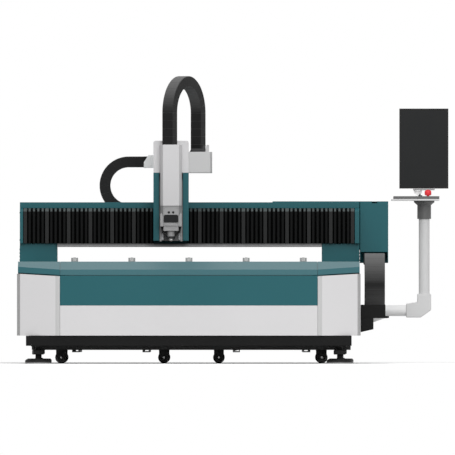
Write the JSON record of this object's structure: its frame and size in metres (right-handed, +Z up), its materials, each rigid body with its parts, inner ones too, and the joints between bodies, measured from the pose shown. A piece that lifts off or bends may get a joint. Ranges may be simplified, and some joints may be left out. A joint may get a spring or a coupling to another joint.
{
  "type": "fiber laser cutting machine",
  "caption": "Open-bed fiber laser cutting machine: moving gantry with bellows, cutting head on a cross carriage, slatted table, slag carts, cable chains and side console",
  "frame": {"origin": "on the floor at the middle of the bed", "axes": "+X toward the console side, +Y toward the rear, +Z up; the front end faces -Y"},
  "size_m": [2.688, 4.585, 1.7915],
  "materials": {
    "teal_paint": "satin powder coat",
    "white_paint": "satin powder coat",
    "black_paint": "fine texture powder coat",
    "grey_paint": "satin powder coat",
    "frame_steel": "primed and painted steel",
    "bare_steel": "ground guide steel",
    "slat_steel": "heat-stained mild steel",
    "roller_steel": "turned steel",
    "head_aluminium": "bead-blasted anodised",
    "chain_nylon": "moulded nylon",
    "bellows_cloth": "coated cloth over stiffeners",
    "caster_rubber": "moulded tread",
    "foot_rubber": "black oxide with rubber sole",
    "motor_black": "black anodised",
    "hose_rubber": "smooth hose",
    "nozzle_chrome": "hard chrome on turned copper",
    "dark_plastic": "fine moulded texture",
    "screen_glass": "dark anti-glare glass",
    "signal_red": "moulded"
  },
  "bodies": {
    "bed": {"base_rails": "black_paint", "bed_beams": "frame_steel", "table_frame": "frame_steel", "support_slats": "slat_steel", "levelling_feet": "foot_rubber", "end_lower_panels": "white_paint", "end_upper_panels": "teal_paint", "corner_panels": "white_paint", "end_top_covers": "teal_paint", "side_panels": "white_paint", "y_guides": "bare_steel", "chain_tray": "black_paint", "roller_brackets": "roller_steel", "exhaust_collar": "grey_paint", "support_arm": "grey_paint", "arm_elbow": "grey_paint", "arm_upright": "grey_paint", "y_chain": "chain_nylon"},
    "loading_rollers": {"loading_rollers": "roller_steel"},
    "cart_left": {"slag_cart_left": "black_paint"},
    "cart_left_outer_wheels": {"cart_left_wheels_outer": "caster_rubber"},
    "cart_left_inner_wheels": {"cart_left_wheels_inner": "caster_rubber"},
    "cart_right": {"slag_cart_right": "black_paint"},
    "cart_right_outer_wheels": {"cart_right_wheels_outer": "caster_rubber"},
    "cart_right_inner_wheels": {"cart_right_wheels_inner": "caster_rubber"},
    "gantry": {"gantry_beam": "teal_paint", "gantry_legs": "teal_paint", "beam_top_cover": "teal_paint", "beam_guard_strip": "bare_steel", "x_guides": "bare_steel", "gantry_blocks": "bare_steel", "gantry_motors": "motor_black", "chain_housing": "teal_paint", "x_chain": "chain_nylon", "bellows_left": "bellows_cloth", "bellows_right": "bellows_cloth"},
    "gantry_pinions": {"gantry_pinions": "bare_steel"},
    "carriage": {"carriage_plate": "frame_steel", "tower_frame": "frame_steel", "tower_sides": "teal_paint", "tower_cap": "white_paint", "chain_brackets": "white_paint", "carriage_motors": "motor_black", "z_rails": "bare_steel", "z_chain": "chain_nylon"},
    "x_pinion": {"x_pinion": "bare_steel"},
    "z_screw": {"z_screw": "bare_steel"},
    "head": {"z_slide": "head_aluminium", "head_cover": "white_paint", "cutting_head": "head_aluminium", "head_display": "screen_glass", "nozzle_ring": "motor_black", "nozzle": "nozzle_chrome", "head_hoses": "hose_rubber"},
    "console": {"swivel_socket": "dark_plastic", "console_shelf": "dark_plastic", "shelf_tray": "grey_paint"},
    "estop": {"estop_button": "signal_red"},
    "monitor": {"monitor_case": "dark_plastic", "monitor_screen": "screen_glass"}
  },
  "joints": [
    {"name": "rollers_spin", "type": "hinge", "parent": "bed", "child": "loading_rollers", "pos_m": [0, -1.64, 0.633], "axis": [1, 0, 0], "continuous": true},
    {"name": "cart_left_slide", "type": "slide", "parent": "bed", "child": "cart_left", "axis": [-1, 0, 0], "range_m": [0, 0.95]},
    {"name": "cart_left_outer_roll", "type": "hinge", "parent": "cart_left", "child": "cart_left_outer_wheels", "pos_m": [-0.8, 0, 0.037], "axis": [0, 1, 0], "continuous": true},
    {"name": "cart_left_inner_roll", "type": "hinge", "parent": "cart_left", "child": "cart_left_inner_wheels", "pos_m": [-0.158, 0, 0.037], "axis": [0, 1, 0], "continuous": true},
    {"name": "cart_right_slide", "type": "slide", "parent": "bed", "child": "cart_right", "axis": [1, 0, 0], "range_m": [0, 0.95]},
    {"name": "cart_right_outer_roll", "type": "hinge", "parent": "cart_right", "child": "cart_right_outer_wheels", "pos_m": [0.827, 0, 0.037], "axis": [0, 1, 0], "continuous": true},
    {"name": "cart_right_inner_roll", "type": "hinge", "parent": "cart_right", "child": "cart_right_inner_wheels", "pos_m": [0.185, 0, 0.037], "axis": [0, 1, 0], "continuous": true},
    {"name": "gantry_travel", "type": "slide", "parent": "bed", "child": "gantry", "axis": [0, 1, 0], "range_m": [-0.6, 2.4], "deforming": ["y_chain"]},
    {"name": "gantry_pinions_spin", "type": "hinge", "parent": "gantry", "child": "gantry_pinions", "pos_m": [0, -0.492, 0.6624], "axis": [1, 0, 0], "continuous": true},
    {"name": "carriage_travel", "type": "slide", "parent": "gantry", "child": "carriage", "axis": [1, 0, 0], "range_m": [-0.637, 0.863], "deforming": ["bellows_left", "bellows_right", "x_chain"]},
    {"name": "x_pinion_spin", "type": "hinge", "parent": "carriage", "child": "x_pinion", "pos_m": [-0.113, -0.62, 0.8774], "axis": [0, 1, 0], "continuous": true},
    {"name": "head_lift", "type": "slide", "parent": "carriage", "child": "head", "axis": [0, 0, 1], "range_m": [-0.1, 0.03], "deforming": ["z_chain"]},
    {"name": "z_screw_spin", "type": "hinge", "parent": "carriage", "child": "z_screw", "pos_m": [-0.113, -0.808, 0.98], "axis": [0, 0, 1], "continuous": true},
    {"name": "console_swivel", "type": "hinge", "parent": "bed", "child": "console", "pos_m": [1.476, 0.42, 0.9], "axis": [0, 0, 1], "range_deg": [-75, 75]},
    {"name": "estop_press", "type": "slide", "parent": "console", "child": "estop", "axis": [0, 0, -1], "range_m": [0, 0.004], "stiffness_N_per_m": 900},
    {"name": "monitor_tilt", "type": "hinge", "parent": "console", "child": "monitor", "pos_m": [1.4365, 0.42, 1.075], "axis": [1, 0, 0], "range_deg": [-10, 15]}
  ],
  "couplings": [
    {"joint": "cart_left_outer_roll", "follows": "cart_left_slide", "rad_per_m": -27.397},
    {"joint": "cart_left_inner_roll", "follows": "cart_left_slide", "rad_per_m": -27.397},
    {"joint": "cart_right_outer_roll", "follows": "cart_right_slide", "rad_per_m": 27.397},
    {"joint": "cart_right_inner_roll", "follows": "cart_right_slide", "rad_per_m": 27.397},
    {"joint": "gantry_pinions_spin", "follows": "gantry_travel", "rad_per_m": -25},
    {"joint": "x_pinion_spin", "follows": "carriage_travel", "rad_per_m": 35.714},
    {"joint": "z_screw_spin", "follows": "head_lift", "rad_per_m": 628.32}
  ]
}
